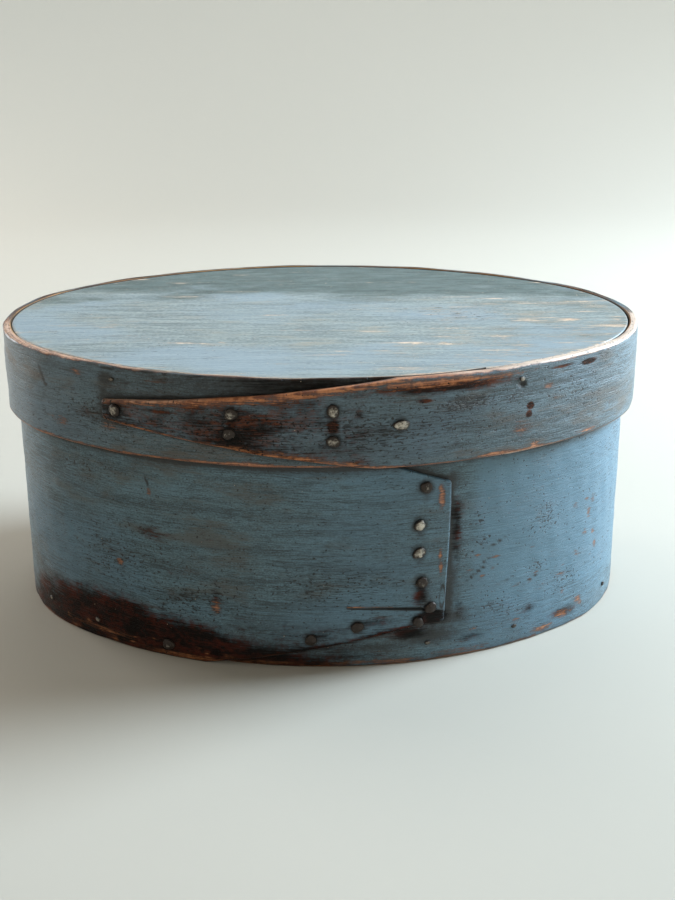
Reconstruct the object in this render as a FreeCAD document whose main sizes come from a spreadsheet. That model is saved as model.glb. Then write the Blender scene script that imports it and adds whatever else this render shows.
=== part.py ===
import FreeCAD, Part
import math
import os

import Sketcher

# Bentwood oval box with a lift-off lid.
# Millimetres, +Z up. X runs along the oval, and the laps face -Y.
# The origin is the middle of the flat base, where the box stands.

doc = FreeCAD.newDocument("OvalBox")
sheet = doc.addObject("Spreadsheet::Sheet", "Sizes")

driving_sizes = (
    ("box_length", 295.0),
    ("box_width", 220.0),
    ("box_end_radius", 88.0),
    ("total_height", 135.0),
    ("lid_height", 39.0),
    ("box_band", 4.0),
    ("lid_band", 4.2),
    ("base_thickness", 12.0),
    ("top_thickness", 11.0),
    ("top_inset", 0.5),
    ("base_fit", 0.25),
    ("top_fit", 0.6),
    ("board_chamfer", 0.8),
    ("lid_end_fit", 0.8),
    ("lid_side_fit", 0.45),
    ("lid_seat", 0.3),
    ("lap_seam", 0.2),
    ("feather_tip", 0.8),
    ("step_run", 3.0),
    ("lap_end_thickness", 2.2),
    ("lap_corner", 3.0),
    ("finger_end_thickness", 3.2),
    ("finger_corner", 1.2),
    ("head_radius", 2.55),
    ("head_rise", 1.3),
    ("head_gap", 0.06),
    ("shank_width", 1.7),
    ("clinch_length", 3.6),
    ("clinch_width", 1.5),
    ("clinch_depth", 0.5),
    ("clinch_sink", 0.1),
    ("bore_fit", 0.05),
    ("column_setback", 12.0),
    ("row_rise", 6.4),
    ("nail_width", 1.4),
    ("nail_head_width", 2.8),
    ("nail_head_tall", 2.0),
    ("nail_head", 0.5),
    ("nail_bite", 9.0),
    ("overrun", 2.0),
)
for row, (alias, value) in enumerate(driving_sizes, start=1):
    sheet.set(f"A{row}", alias)
    sheet.set(f"B{row}", str(value))
    sheet.setAlias(f"B{row}", alias)
doc.recompute()

# Places along each lap, from the middle of the front towards the end of its outer
# layer, as shares of the reach of the oval's front side. The corners' heights are
# shares of what shows of the box below the lid, and of the lid's height.
box_lap_shares = {
    "rise_share": -0.959,
    "feather_tip_share": -0.685,
    "foot_root_share": -0.454,
    "top_root_share": -0.385,
    "foot_flat_share": 0.353,
    "end_share": 0.473,
    "feather_root_share": 0.857,
    "foot_corner_share": 0.198,
    "top_corner_share": 0.902,
}
finger_shares = {
    "rise_share": -0.882,
    "feather_tip_share": -0.572,
    "top_root_share": -0.253,
    "foot_root_share": -0.18,
    "end_share": 0.757,
    "feather_root_share": 0.972,
    "foot_corner_share": 0.405,
    "top_corner_share": 0.631,
}


def size(alias):
    return float(sheet.get(alias))


def cell(alias):
    return f"Sizes.{alias}"


def bind(thing, **expressions):
    """Binds properties of a document object to expressions of the sheet."""
    for prop, expression in expressions.items():
        thing.setExpression(prop, expression)


class Oval:
    """Four tangent arcs: two ends on the X axis and two flatter sides.

    hand is 1 where the outer layer of the lap ends on the +X side, and -1 where it
    ends on the -X side.
    """

    def __init__(self, half_length, half_width, end_radius, hand=1):
        self.half_length = half_length
        self.half_width = half_width
        self.end_radius = end_radius
        self.hand = hand
        self.end_centre = half_length - end_radius
        squares = self.end_centre**2 + half_width**2 - end_radius**2
        self.side_radius = squares / (2 * (half_width - end_radius))
        self.side_centre = self.side_radius - half_width
        self.joint = math.atan2(self.end_centre, self.side_centre)

    def front(self, angle, offset):
        """A point of the front side, by its angle from -Y and its offset outwards."""
        radius = self.side_radius + offset
        x = self.hand * radius * math.sin(angle)
        return FreeCAD.Vector(x, self.side_centre - radius * math.cos(angle), 0)

    def outline(self, normal, offset):
        """The point where the outline faces along a unit vector."""
        if abs(normal.x) < math.sin(self.joint):
            centre = FreeCAD.Vector(0, -math.copysign(self.side_centre, normal.y), 0)
            return centre + normal * (self.side_radius + offset)
        centre = FreeCAD.Vector(math.copysign(self.end_centre, normal.x), 0, 0)
        return centre + normal * (self.end_radius + offset)


class Lap:
    """The doubled stretch of a bentwood strip that goes once round an oval.

    The inner layer thins evenly from its root to its feathered tip. The outer layer
    lies on it with a fine seam between them, and its face rises evenly to its end.
    top_edge and foot_edge hold the two edges of the outer layer's tapering end, each
    from its root on the strip's rim to its corner, as (place, height) pairs. A place
    is measured along X from the middle of the front.
    """

    def __init__(self, oval, name, shares, thickness, height, shown):
        self.oval = oval
        self.thickness = thickness
        self.height = height
        self.outer_radius = oval.side_radius + thickness
        self.reach = self.outer_radius * math.sin(oval.joint)
        self.end = self.lean(shares["end_share"] * self.reach)
        self.tip = self.lean(shares["feather_tip_share"] * self.reach)
        self.root = self.lean(shares["feather_root_share"] * self.reach)
        self.rise = self.lean(shares["rise_share"] * self.reach)
        self.end_face = self.inner_layer(self.end) + size("lap_seam")
        self.top = self.end_face + size(f"{name}_end_thickness")
        self.end_place = (oval.side_radius + self.top) * math.sin(self.end)
        self.corner = size(f"{name}_corner")
        inside = self.end_place - self.corner
        self.foot_corner = shares["foot_corner_share"] * shown
        self.top_corner = shares["top_corner_share"] * shown
        self.top_edge = [(shares["top_root_share"] * self.reach, height), (inside, self.top_corner)]
        self.foot_edge = [(shares["foot_root_share"] * self.reach, 0), (inside, self.foot_corner)]
        if "foot_flat_share" in shares:
            flat_start = shares["foot_flat_share"] * self.reach
            self.foot_edge.insert(1, (flat_start, self.foot_corner))

    def lean(self, place):
        """Angle from -Y of a place on the strip's outer face."""
        return math.asin(place / self.outer_radius)

    def inner_layer(self, angle):
        """Thickness of the inner layer between its tip and its root."""
        share = (angle - self.tip) / (self.root - self.tip)
        return size("feather_tip") + share * (self.thickness - size("feather_tip"))

    def edge_height(self, edge, place):
        """Height of an edge of the tapering end above a place."""
        for (near, low), (far, high) in zip(edge, edge[1:]):
            if place <= far:
                break
        share = max((place - near) / (far - near), 0)
        return low + min(share, 1) * (high - low)

    def skin(self, angle, level):
        """How far the visible face stands off the inner face at a height."""
        if not self.rise < angle < self.root:
            return self.thickness
        place = self.outer_radius * math.sin(angle)
        foot = self.edge_height(self.foot_edge, place)
        top = self.edge_height(self.top_edge, place)
        if angle > self.end or not foot <= level <= top:
            return self.inner_layer(angle)
        share = (angle - self.rise) / (self.end - self.rise)
        return self.thickness + share * (self.top - self.thickness)


box_inside = Oval(
    size("box_length") / 2 - size("box_band"),
    size("box_width") / 2 - size("box_band"),
    size("box_end_radius") - size("box_band"),
)
box_height = (size("total_height") - size("top_inset") - size("top_thickness")
              - size("lid_seat"))
box_height_cell = (f"{cell('total_height')} - {cell('top_inset')}"
                   f" - {cell('top_thickness')} - {cell('lid_seat')}")
lid_level = size("total_height") - size("lid_height")
box_lap = Lap(box_inside, "lap", box_lap_shares, size("box_band"), box_height, lid_level)

# The lid clears the box at its ends by a fit, and at the sides by the lap's rise too.
lap_rise = box_lap.top - size("box_band")
lid_inside = Oval(
    size("box_length") / 2 + size("lid_end_fit"),
    size("box_width") / 2 + lap_rise + size("lid_side_fit"),
    size("box_end_radius") + size("lid_end_fit"),
    hand=-1,
)
lid_lap = Lap(lid_inside, "finger", finger_shares, size("lid_band"), size("lid_height"),
              size("lid_height"))


def arc(sketch, start, middle, end):
    sketch.addGeometry(Part.Arc(start, middle, end), False)


def line(sketch, start, end):
    sketch.addGeometry(Part.LineSegment(start, end), False)


def front_arc(sketch, oval, from_angle, from_offset, to_angle, to_offset):
    """An arc on the front side whose offset changes evenly between two angles."""
    middle = oval.front((from_angle + to_angle) / 2, (from_offset + to_offset) / 2)
    arc(sketch, oval.front(from_angle, from_offset), middle, oval.front(to_angle, to_offset))


def way_round(sketch, oval, start, offset):
    """The ends and the back of an oval. start is 1 to begin on the lap end's side."""
    first = oval.front(start * oval.joint, offset)
    last = oval.front(-start * oval.joint, offset)
    behind_first = FreeCAD.Vector(first.x, -first.y, 0)
    behind_last = FreeCAD.Vector(last.x, -last.y, 0)
    far_end = FreeCAD.Vector(start * oval.hand * (oval.half_length + offset), 0, 0)
    arc(sketch, first, far_end, behind_first)
    arc(sketch, behind_first, FreeCAD.Vector(0, oval.half_width + offset, 0), behind_last)
    arc(sketch, behind_last, -far_end, last)


def raised_sketch(name, level, rotation=FreeCAD.Rotation()):
    sketch = doc.addObject("Sketcher::SketchObject", name)
    sketch.Placement = FreeCAD.Placement(FreeCAD.Vector(0, 0, level), rotation)
    return sketch


def strip_plan(name, lap, level):
    """Plan of a bentwood strip: one spiral turn that laps over its own feathered end."""
    oval = lap.oval
    plan = raised_sketch(name, level)
    before_tip = lap.tip - size("lap_seam") / oval.side_radius
    step = before_tip - size("step_run") / oval.side_radius
    step_height = size("feather_tip") + size("lap_seam")
    # Inner face, from the feathered tip once round to the step over that tip.
    front_arc(plan, oval, lap.tip, 0, oval.joint, 0)
    way_round(plan, oval, 1, 0)
    front_arc(plan, oval, -oval.joint, 0, step, 0)
    line(plan, oval.front(step, 0), oval.front(before_tip, step_height))
    # Underside of the outer layer, along the seam to the end of the lap.
    front_arc(plan, oval, before_tip, step_height, lap.end, lap.end_face)
    line(plan, oval.front(lap.end, lap.end_face), oval.front(lap.end, lap.top))
    # Outer face, back round to the feather and down to its tip.
    front_arc(plan, oval, lap.end, lap.top, lap.rise, lap.thickness)
    front_arc(plan, oval, lap.rise, lap.thickness, -oval.joint, lap.thickness)
    way_round(plan, oval, -1, lap.thickness)
    front_arc(plan, oval, oval.joint, lap.thickness, lap.root, lap.thickness)
    front_arc(plan, oval, lap.root, lap.thickness, lap.tip, size("feather_tip"))
    line(plan, oval.front(lap.tip, size("feather_tip")), oval.front(lap.tip, 0))
    return plan


def extrude(name, sketch, direction, expression):
    solid = doc.addObject("Part::Extrusion", name)
    solid.Base = sketch
    solid.DirMode = "Custom"
    solid.Dir = direction
    solid.Solid = True
    bind(solid, LengthFwd=expression)
    return solid


def lap_ring(name, lap, height_cell, level):
    """All that lies outside the seam, along the stretch where the outer layer narrows."""
    oval = lap.oval
    plan = raised_sketch(f"{name}_plan", level)
    roots = min(lap.top_edge[0][0], lap.foot_edge[0][0])
    start = (lap.tip + lap.lean(roots)) / 2
    end = lap.end + size("overrun") / oval.side_radius
    near = lap.inner_layer(start) + size("lap_seam") / 2
    far = lap.inner_layer(end) + size("lap_seam") / 2
    clear = lap.top + size("overrun")
    front_arc(plan, oval, start, near, end, far)
    line(plan, oval.front(end, far), oval.front(end, clear))
    front_arc(plan, oval, end, clear, start, clear)
    line(plan, oval.front(start, clear), oval.front(start, near))
    return extrude(name, plan, FreeCAD.Vector(0, 0, 1), height_cell)


def lap_surround(name, lap, level):
    """What lies above and below the tapering end in the front view, as two prisms."""
    view = raised_sketch(f"{name}_view", level, FreeCAD.Rotation(FreeCAD.Vector(1, 0, 0), 90))
    past = lap.end_place + size("overrun")
    arc_share = 1 - math.sqrt(0.5)
    for edge, rim, way in ((lap.top_edge, lap.height, 1), (lap.foot_edge, 0, -1)):
        root = edge[0][0]
        level = edge[-1][1]
        bend = (lap.end_place - lap.corner * arc_share, level - way * lap.corner * arc_share)
        end = (lap.end_place, level - way * lap.corner)
        outside = rim + way * size("overrun")
        around = [end, (past, end[1]), (past, outside), (root, outside), edge[0]]
        points = [FreeCAD.Vector(lap.oval.hand * x, z, 0) for x, z in edge]
        around = [FreeCAD.Vector(lap.oval.hand * x, z, 0) for x, z in around]
        for first, second in zip(points, points[1:]):
            line(view, first, second)
        arc(view, points[-1], FreeCAD.Vector(lap.oval.hand * bend[0], bend[1], 0), around[0])
        for first, second in zip(around, around[1:]):
            line(view, first, second)
    return extrude(name, view, FreeCAD.Vector(0, -1, 0), cell("box_width"))


def combine(kind, name, things):
    combined = doc.addObject(kind, name)
    if kind == "Part::Compound":
        combined.Links = things
    else:
        combined.Shapes = things
    return combined


def cut(name, base, tool):
    result = doc.addObject("Part::Cut", name)
    result.Base = base
    result.Tool = tool
    return result


def side_band(name, lap, height_cell, level, bores):
    """A strip whose outer layer is cut to its tapering end, bored for its fasteners."""
    up = FreeCAD.Vector(0, 0, 1)
    blank = extrude(f"{name}_blank", strip_plan(f"{name}_plan", lap, level), up, height_cell)
    ring = lap_ring(f"{name}_ring", lap, height_cell, level)
    surround = lap_surround(f"{name}_surround", lap, level)
    waste = combine("Part::MultiCommon", f"{name}_waste", [ring, surround])
    shaped = cut(f"{name}_shaped", blank, waste)
    return cut(name, shaped, combine("Part::Compound", f"{name}_bores", bores))


def oval_board(name, oval, oval_cells, thickness_cell, level, face_level, bores):
    """A flat oval board whose edge is chamfered at the face on face_level."""
    half_length, half_width, end_radius = oval_cells
    body = doc.addObject("PartDesign::Body", f"{name}_body")
    plan = body.newObject("Sketcher::SketchObject", f"{name}_plan")
    plane = [item for item in body.Origin.OriginFeatures if item.Role == "XY_Plane"][0]
    plan.AttachmentSupport = [(plane, "")]
    plan.MapMode = "FlatFace"
    lean = math.pi / 2 - oval.joint
    upward = FreeCAD.Vector(0, 0, 1)
    # Right end, back, left end and front, each counterclockwise.
    for x, y, radius, start, end in (
        (oval.end_centre, 0, oval.end_radius, -lean, lean),
        (0, -oval.side_centre, oval.side_radius, lean, math.pi - lean),
        (-oval.end_centre, 0, oval.end_radius, math.pi - lean, math.pi + lean),
        (0, oval.side_centre, oval.side_radius, math.pi + lean, 2 * math.pi - lean),
    ):
        circle = Part.Circle(FreeCAD.Vector(x, y, 0), upward, radius)
        plan.addGeometry(Part.ArcOfCircle(circle, start, end), False)
    rules = [Sketcher.Constraint("Tangent", first, 2, (first + 1) % 4, 1) for first in range(4)]
    rules.append(Sketcher.Constraint("PointOnObject", 0, 3, -1))
    rules.append(Sketcher.Constraint("PointOnObject", 2, 3, -1))
    rules.append(Sketcher.Constraint("PointOnObject", 1, 3, -2))
    rules.append(Sketcher.Constraint("Equal", 0, 2))
    rules.append(Sketcher.Constraint("Equal", 1, 3))
    plan.addConstraint(rules)
    reach = f"({half_length} - ({end_radius}))"
    squares = f"{reach}^2 + ({half_width})^2 - ({end_radius})^2"
    for rule, expression in (
        (Sketcher.Constraint("Radius", 0, oval.end_radius), end_radius),
        (Sketcher.Constraint("DistanceX", -1, 1, 0, 3, oval.end_centre), reach),
        (Sketcher.Constraint("Radius", 1, oval.side_radius),
         f"({squares}) / (2 * ({half_width} - ({end_radius})))"),
    ):
        index = plan.addConstraint(rule)
        plan.setExpression(f"Constraints[{index}]", expression)
    pad = body.newObject("PartDesign::Pad", f"{name}_pad")
    pad.Profile = plan
    bind(pad, Length=thickness_cell)
    doc.recompute()
    flat_faces = {face.CenterOfMass.z: index for index, face in enumerate(pad.Shape.Faces, start=1)
                  if face.Surface.TypeId == "Part::GeomPlane"}
    chamfered = max(flat_faces) if face_level > level else min(flat_faces)
    chamfer = body.newObject("PartDesign::Chamfer", f"{name}_chamfer")
    chamfer.Base = (pad, [f"Face{flat_faces[chamfered]}"])
    bind(chamfer, Size=cell("board_chamfer"))
    body.Tip = chamfer
    body.Placement = FreeCAD.Placement(FreeCAD.Vector(0, 0, level), FreeCAD.Rotation())
    return cut(name, body, combine("Part::Compound", f"{name}_bores", bores))


def seat(base, normal, turn_degrees=0):
    """A placement on a face: local Z points out of it and local X lies level in it."""
    upward = FreeCAD.Vector(0, 0, 1)
    level = upward.cross(normal)
    facing = FreeCAD.Rotation(level, upward, normal, "ZXY")
    return FreeCAD.Placement(base, facing * FreeCAD.Rotation(FreeCAD.Vector(0, 0, 1), turn_degrees))


def along(placement, x, y, z):
    """A placement moved within its own axes."""
    return placement * FreeCAD.Placement(FreeCAD.Vector(x, y, z), FreeCAD.Rotation())


def bar(name, placement, wide_cell, tall_cell, length, fit_cell="0"):
    """A rectangular bar centred on a placement, reaching back along its -Z."""
    box = doc.addObject("Part::Box", name)
    box.Height = length
    bind(box, Length=f"{wide_cell} + 2 * {fit_cell}", Width=f"{tall_cell} + 2 * {fit_cell}")
    doc.recompute([box])
    box.Placement = along(placement, -box.Length.Value / 2, -box.Width.Value / 2, -length)
    return box


# A forged head, level by level: shares of its radii and of its rise.
head_level_shares = ((1.0, 0.0), (0.95, 0.42), (0.68, 0.82), (0.32, 1.0))
head_corners = 9
hammered_share = 0.07


def forged_head(name, placement, wide, tall, number):
    """A low head of flat hammered facets, each one a little different."""
    sections = []
    for level, (width_share, rise_share) in enumerate(head_level_shares):
        section = doc.addObject("Sketcher::SketchObject", f"{name}_level_{level}")
        section.Placement = along(placement, 0, 0, rise_share * size("head_rise"))
        corners = []
        for corner in range(head_corners):
            angle = 2 * math.pi * corner / head_corners
            uneven = 1 + hammered_share * math.sin(3 * corner + 5 * number)
            reach = width_share * uneven * size("head_radius")
            corners.append(FreeCAD.Vector(wide * reach * math.cos(angle),
                                          tall * reach * math.sin(angle), 0))
        for first, second in zip(corners, corners[1:] + corners[:1]):
            line(section, first, second)
        sections.append(section)
    head = doc.addObject("Part::Loft", name)
    head.Sections = sections
    head.Solid = True
    head.Ruled = True
    return head


def tack(name, number, lap, place, height, level, shares, turn, board_bite=0):
    """A forged tack through the lap, as its solid and the bores that it leaves.

    shares scale the head's two radii. Its point is turned over and sunk in the inner
    face, unless it is driven on into the edge of a board.
    """
    angle = lap.lean(place)
    skin = lap.skin(angle, height)
    grip = skin + size("head_gap")
    normal = FreeCAD.Vector(lap.oval.hand * math.sin(angle), -math.cos(angle), 0)
    base = lap.oval.front(angle, grip) + FreeCAD.Vector(0, 0, level + height)
    outside = seat(base, normal)
    head = forged_head(f"{name}_head", seat(base, normal, turn), *shares, number)
    in_head = size("head_rise") / 2
    shank_cell = cell("shank_width")
    fit_cell = cell("bore_fit")
    depth = grip + board_bite if board_bite else grip - size("clinch_sink")
    shank = bar(f"{name}_shank", along(outside, 0, 0, in_head), shank_cell, shank_cell,
                depth + in_head)
    if board_bite:
        bore = bar(f"{name}_bore", outside, shank_cell, shank_cell, depth + size("bore_fit"), fit_cell)
        return combine("Part::MultiFuse", name, [head, shank]), [bore]
    bore = bar(f"{name}_bore", outside, shank_cell, shank_cell, grip + size("overrun"), fit_cell)
    # The clinched point lies level, beside the shank, with its back in the wood.
    middle = (size("clinch_length") + size("shank_width")) / 2
    clinch_back = size("clinch_depth") - depth
    length_cell = f"({cell('clinch_length')} + {shank_cell})"
    clinch = bar(f"{name}_clinch", along(outside, middle - size("shank_width"), 0, clinch_back),
                 length_cell, cell("clinch_width"), size("clinch_depth"))
    recess_back = clinch_back + size("bore_fit")
    recess = bar(f"{name}_recess", along(outside, middle - size("shank_width"), 0, recess_back),
                 length_cell, cell("clinch_width"),
                 recess_back + grip + size("overrun"), fit_cell)
    return combine("Part::MultiFuse", name, [head, shank, clinch]), [bore, recess]


def rim_nails(name, lap, turns, height, level):
    """Small square nails through a strip into the edge of its board, as one group.

    turns are the directions in which the nails' heads face, in degrees from +X.
    """
    nails = []
    bores = []
    for number, turn in enumerate(turns, start=1):
        normal = FreeCAD.Vector(math.cos(math.radians(turn)), math.sin(math.radians(turn)), 0)
        skin = lap.thickness
        if normal.y < 0:
            skin = lap.skin(math.asin(lap.oval.hand * normal.x), height)
        base = lap.oval.outline(normal, skin + size("head_gap"))
        outside = seat(base + FreeCAD.Vector(0, 0, level + height), normal)
        length = skin + size("head_gap") + size("nail_bite")
        width_cell = cell("nail_width")
        shank = bar(f"{name}_{number}_shank", outside, width_cell, width_cell, length)
        head = bar(f"{name}_{number}_head", along(outside, 0, 0, size("nail_head")),
                   cell("nail_head_width"), cell("nail_head_tall"), size("nail_head"))
        nails.append(combine("Part::MultiFuse", f"{name}_{number}", [shank, head]))
        bores.append(bar(f"{name}_{number}_bore", outside, width_cell, width_cell,
                         length + size("bore_fit"), cell("bore_fit")))
    return combine("Part::Compound", name, nails), bores


parts = []
box_bores = []
lid_bores = []

# A column of tacks behind the end of the box's lap. Shares of the setback from the
# end, of the end's height and of the head's two radii, then the head's turn in degrees.
column_shares = (
    (0.95, 0.965, 1.05, 0.95, 10),
    (1.17, 0.71, 0.95, 0.9, 40),
    (1.17, 0.52, 1.15, 0.9, 25),
    (1.04, 0.31, 0.95, 1.0, 0),
    (0.72, 0.125, 1.1, 0.9, 15),
    (1.17, 0.03, 0.9, 0.95, 60),
)
end_place = box_lap_shares["end_share"] * box_lap.reach
end_height = box_lap.top_corner - box_lap.foot_corner
for number, (back, up, wide, tall, turn) in enumerate(column_shares, start=1):
    place = end_place - back * size("column_setback")
    height = box_lap.foot_corner + up * end_height
    made, bores = tack(f"lap_tack_{number}", number, box_lap, place, height, 0, (wide, tall), turn)
    parts.append(made)
    box_bores += bores

# Two tacks above the lap's lower edge, and one past its foot in the base's edge.
foot_length = end_place - box_lap.foot_edge[0][0]
row_shares = (
    (0.375, 1.1, 1.05, 0.95, 20),
    (0.562, 0.85, 1.0, 0.95, 70),
)
for number, (back, up, wide, tall, turn) in enumerate(row_shares, start=1):
    place = end_place - back * foot_length
    height = box_lap.edge_height(box_lap.foot_edge, place) + up * size("row_rise")
    made, bores = tack(f"foot_tack_{number}", number, box_lap, place, height, 0, (wide, tall), turn)
    parts.append(made)
    box_bores += bores
past_foot_share = 1.152
base_head_shares = (1.1, 0.95)
base_head_turn = 15
place = end_place - past_foot_share * foot_length
base_tack, base_tack_bores = tack("base_tack", 0, box_lap, place, size("base_thickness") / 2, 0,
                                  base_head_shares, base_head_turn, size("nail_bite"))
parts.append(base_tack)
box_bores += base_tack_bores

base_nail_turns = (-75, -125.5, -143, -61, -29, 12, 50, 90, 130, 170)
nail_height_share = 0.75
base_nails, base_nail_bores = rim_nails("base_nails", box_lap, base_nail_turns,
                                        nail_height_share * size("base_thickness"), 0)
parts.append(base_nails)
box_bores += base_nail_bores

# Tacks down the lid's long finger. Shares of the finger's length from its end, of the
# lid's height and of the head's two radii, then the head's turn in degrees.
finger_end = finger_shares["end_share"] * lid_lap.reach
finger_length = finger_end - lid_lap.foot_edge[0][0]
finger_tack_shares = (
    (0.055, 0.53, 1.0, 1.0, 0),
    (0.485, 0.62, 1.05, 1.0, 30),
    (0.475, 0.4, 1.1, 0.85, 10),
    (0.845, 0.67, 0.95, 1.2, 0),
    (0.845, 0.335, 1.15, 0.9, 0),
    (1.09, 0.49, 1.3, 0.85, 5),
)
for number, (back, up, wide, tall, turn) in enumerate(finger_tack_shares, start=1):
    place = finger_end - back * finger_length
    made, bores = tack(f"finger_tack_{number}", number, lid_lap, place, up * size("lid_height"),
                       lid_level, (wide, tall), turn)
    parts.append(made)
    lid_bores += bores

lid_nail_turns = (-119.6, -62.2, 14, 52, 90, 128, 166)
lid_board_level = size("total_height") - size("top_inset") - size("top_thickness")
lid_nail_height = lid_board_level + size("top_thickness") / 2 - lid_level
lid_nails, lid_nail_bores = rim_nails("lid_nails", lid_lap, lid_nail_turns, lid_nail_height,
                                      lid_level)
parts.append(lid_nails)
lid_bores += lid_nail_bores

parts.append(side_band("box_side_band", box_lap, box_height_cell, 0, box_bores))
parts.append(side_band("lid_side_band", lid_lap, cell("lid_height"), lid_level, lid_bores))

# The boards follow the strips' inner faces at a fit.
sheet.set("C1", "lap_rise")
sheet.set("D1", str(lap_rise))
sheet.setAlias("D1", "lap_rise")
doc.recompute()


def fitted(oval, fit):
    return Oval(oval.half_length - fit, oval.half_width - fit, oval.end_radius - fit)


base_inset = f"{cell('box_band')} - {cell('base_fit')}"
base_cells = (
    f"{cell('box_length')} / 2 - {base_inset}",
    f"{cell('box_width')} / 2 - {base_inset}",
    f"{cell('box_end_radius')} - {base_inset}",
)
parts.append(oval_board("base_board", fitted(box_inside, size("base_fit")), base_cells,
                        cell("base_thickness"), 0, 0, base_tack_bores + base_nail_bores))
top_cells = (
    f"{cell('box_length')} / 2 + {cell('lid_end_fit')} - {cell('top_fit')}",
    f"{cell('box_width')} / 2 + {cell('lap_rise')} + {cell('lid_side_fit')} - {cell('top_fit')}",
    f"{cell('box_end_radius')} + {cell('lid_end_fit')} - {cell('top_fit')}",
)
parts.append(oval_board("lid_board", fitted(lid_inside, size("top_fit")), top_cells,
                        cell("top_thickness"), lid_board_level, size("total_height"), lid_nail_bores))

doc.recompute()
for thing in doc.Objects:
    if "Invalid" in thing.State or "Error" in thing.State:
        raise RuntimeError(f"{thing.Name} did not build: {thing.State}")
for part in parts:
    part.Label = part.Name
    if part.Shape.isNull() or not part.Shape.isValid():
        raise RuntimeError(f"{part.Label} has no valid shape")

os.makedirs("parts", exist_ok=True)
for part in parts:
    part.Shape.exportStep(f"parts/{part.Label}.step")
    box = part.Shape.BoundBox
    print(f"{part.Label:16s} {len(part.Shape.Solids):2d} solids {part.Shape.Volume:10.1f} mm3"
          f"  z {box.ZMin:.2f} to {box.ZMax:.2f}")
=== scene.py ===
import math

import bpy
import numpy as np
from mathutils import Matrix, Vector


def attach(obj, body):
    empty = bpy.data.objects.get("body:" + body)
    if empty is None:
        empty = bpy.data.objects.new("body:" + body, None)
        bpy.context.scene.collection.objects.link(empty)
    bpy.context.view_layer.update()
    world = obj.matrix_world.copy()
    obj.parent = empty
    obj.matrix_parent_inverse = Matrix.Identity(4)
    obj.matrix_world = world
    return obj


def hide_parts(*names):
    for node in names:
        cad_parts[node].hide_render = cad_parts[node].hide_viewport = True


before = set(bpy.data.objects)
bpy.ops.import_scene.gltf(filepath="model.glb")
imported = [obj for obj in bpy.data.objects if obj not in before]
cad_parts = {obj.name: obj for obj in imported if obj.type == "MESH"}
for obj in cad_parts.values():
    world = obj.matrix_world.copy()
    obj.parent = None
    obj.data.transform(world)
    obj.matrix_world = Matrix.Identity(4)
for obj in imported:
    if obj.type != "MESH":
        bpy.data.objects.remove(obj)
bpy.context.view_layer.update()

MM = 0.001
TURN = 2 * math.pi


# Plan of the box and its lid, in millimetres, as the solids have it.

class Oval:
    """Four tangent arcs. Directions are turns from -Y, towards the lap end's side."""

    def __init__(self, half_length, half_width, end_radius, hand):
        self.hand = hand
        self.end_radius = end_radius
        self.end_centre = half_length - end_radius
        squares = self.end_centre**2 + half_width**2 - end_radius**2
        self.side_radius = squares / (2 * (half_width - end_radius))
        self.side_centre = self.side_radius - half_width
        self.joint = math.atan2(self.end_centre, self.side_centre)

    def arcs(self, turn):
        """Centre and radius of the arc that faces in each direction."""
        turn = np.mod(np.asarray(turn, float), TURN)
        front = (turn <= self.joint) | (turn >= TURN - self.joint)
        back = np.abs(turn - math.pi) <= self.joint
        x = np.where(front | back, 0.0, np.where(turn < math.pi, 1.0, -1.0) * self.end_centre)
        y = np.where(front, self.side_centre, np.where(back, -self.side_centre, 0.0))
        return x, y, np.where(front | back, self.side_radius, self.end_radius)

    def point(self, turn, offset):
        """Plan position of a turn, with X mirrored for the oval's hand."""
        x, y, radius = self.arcs(turn)
        reach = radius + offset
        return self.hand * (x + reach * np.sin(turn)), y - reach * np.cos(turn)


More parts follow.
